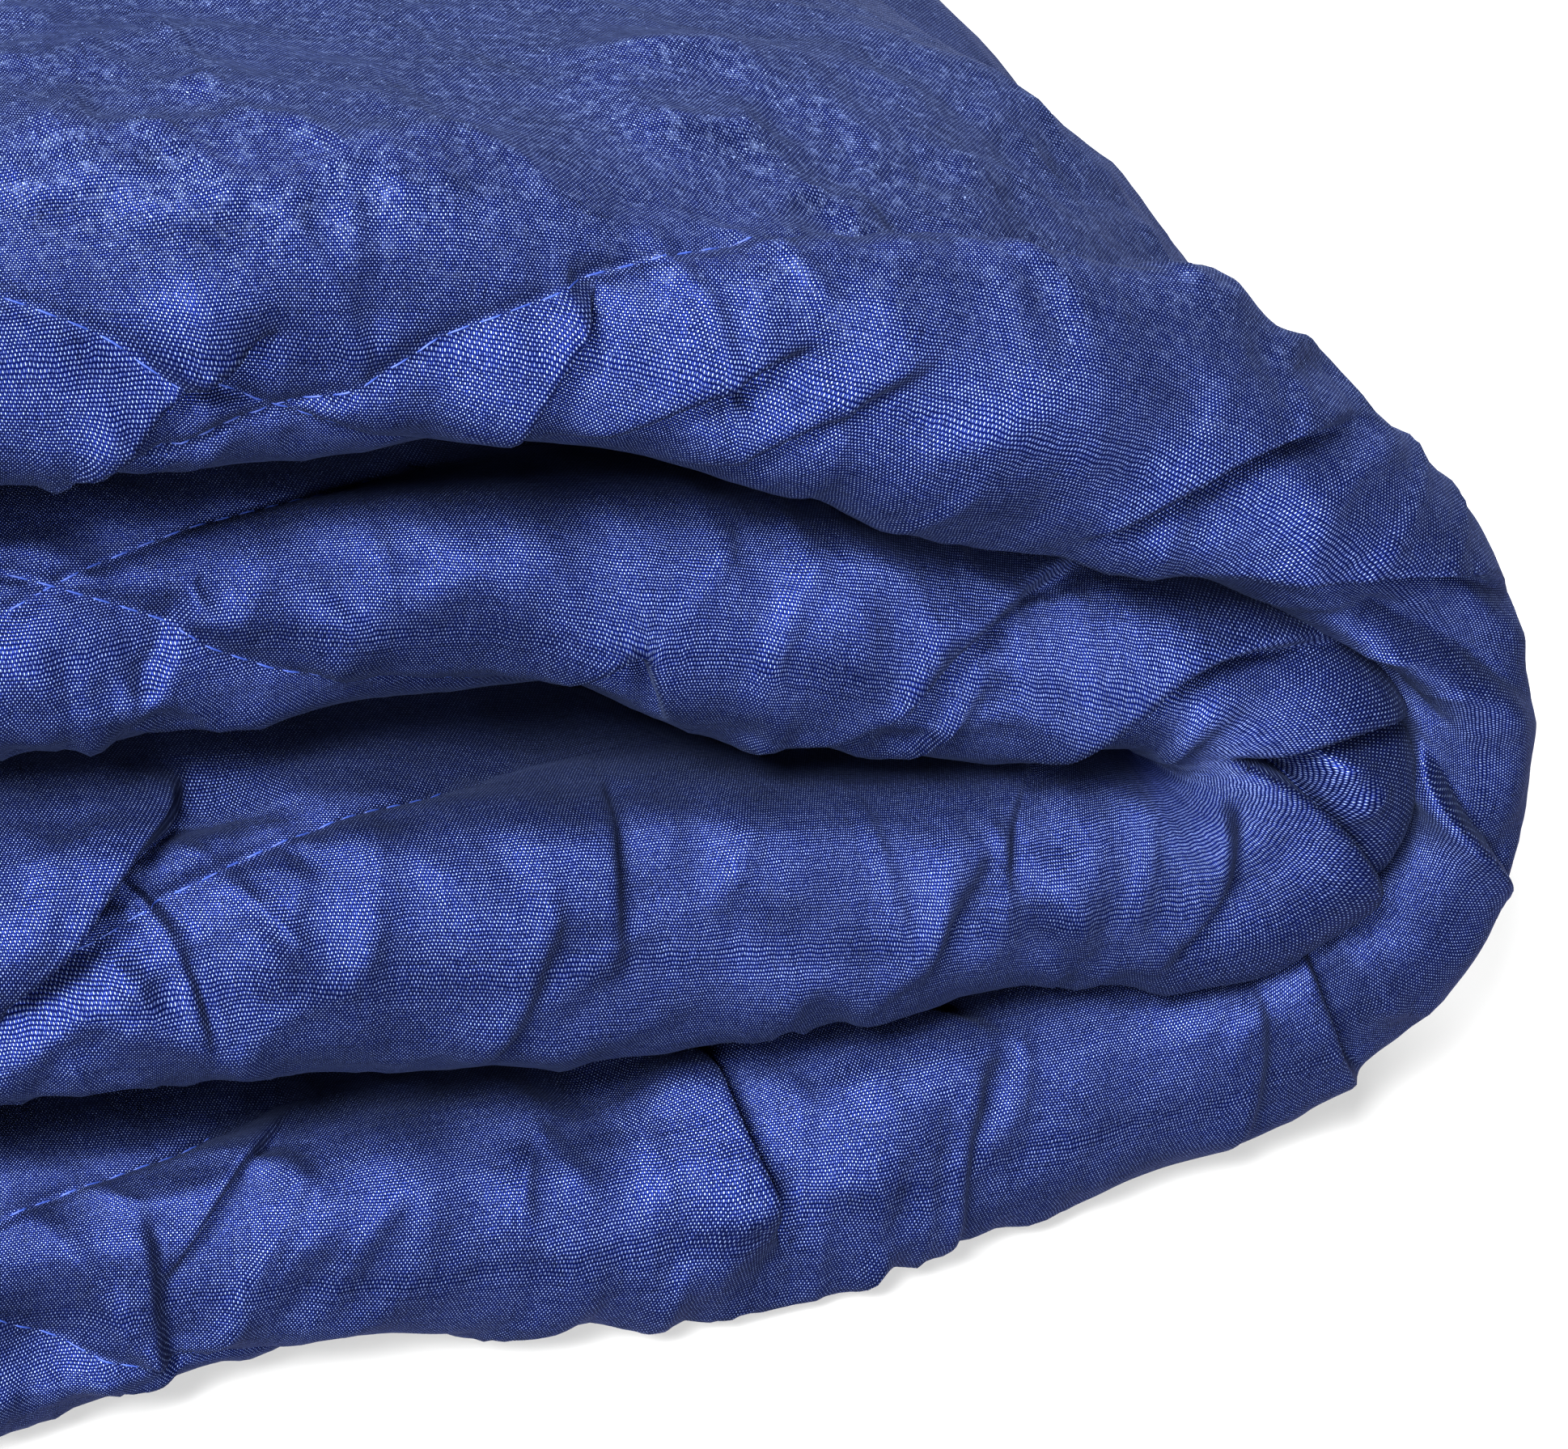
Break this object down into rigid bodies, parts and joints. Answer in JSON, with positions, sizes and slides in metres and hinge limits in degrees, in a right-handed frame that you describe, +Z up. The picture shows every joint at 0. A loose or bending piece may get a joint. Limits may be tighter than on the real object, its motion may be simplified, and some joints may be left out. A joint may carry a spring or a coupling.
{
  "type": "folded quilt",
  "caption": "Channel-stitched cotton quilt folded into a stack of puffy layers, with round front folds, for use as a bed cover or throw.",
  "frame": {"origin": "centre of the bundle's bounding box, on the surface it rests on", "axes": "+X along the layers towards the outer turn on the right, +Y from the round front folds to the hems at the back, +Z up"},
  "size_m": [0.3952, 0.6452, 0.149],
  "materials": {
    "cloth": "matte plain-weave cotton"
  },
  "bodies": {
    "root": {"quilt": "cloth"}
  },
  "joints": []
}
